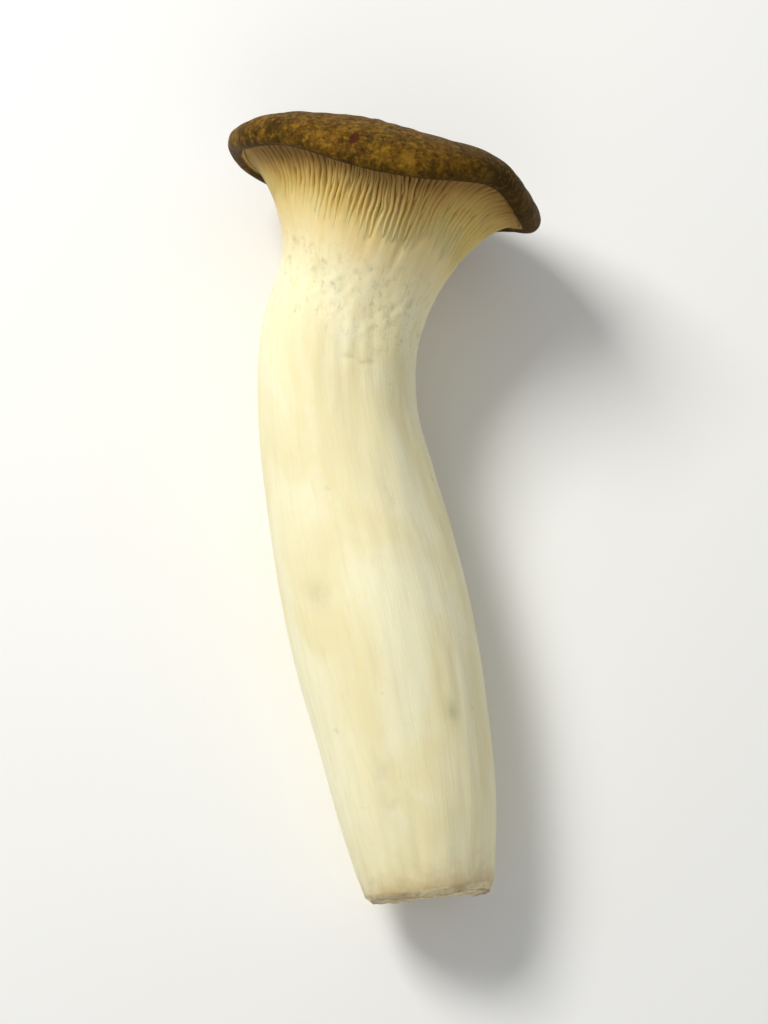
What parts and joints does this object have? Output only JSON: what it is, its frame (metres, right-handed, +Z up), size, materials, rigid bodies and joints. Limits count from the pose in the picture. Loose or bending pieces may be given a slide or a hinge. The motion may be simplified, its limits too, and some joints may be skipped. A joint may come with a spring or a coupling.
{
  "type": "king oyster mushroom",
  "caption": "Whole edible mushroom lying on its side: a thick curved stem with a cut foot, fine gills running down from the cap, and a shallow cap with a rolled margin.",
  "frame": {"origin": "on the surface it rests on, under the middle of the bounding box", "axes": "+Y along the stem from the cut foot to the cap, +X to the right seen from above, +Z up"},
  "size_m": [0.058, 0.1444, 0.0577],
  "materials": {
    "stem_flesh": "matt, fibrous along the stem",
    "cap_skin": "matt, mottled",
    "gill_flesh": "matt"
  },
  "bodies": {
    "root": {"king_oyster_mushroom": "stem_flesh"}
  },
  "joints": []
}
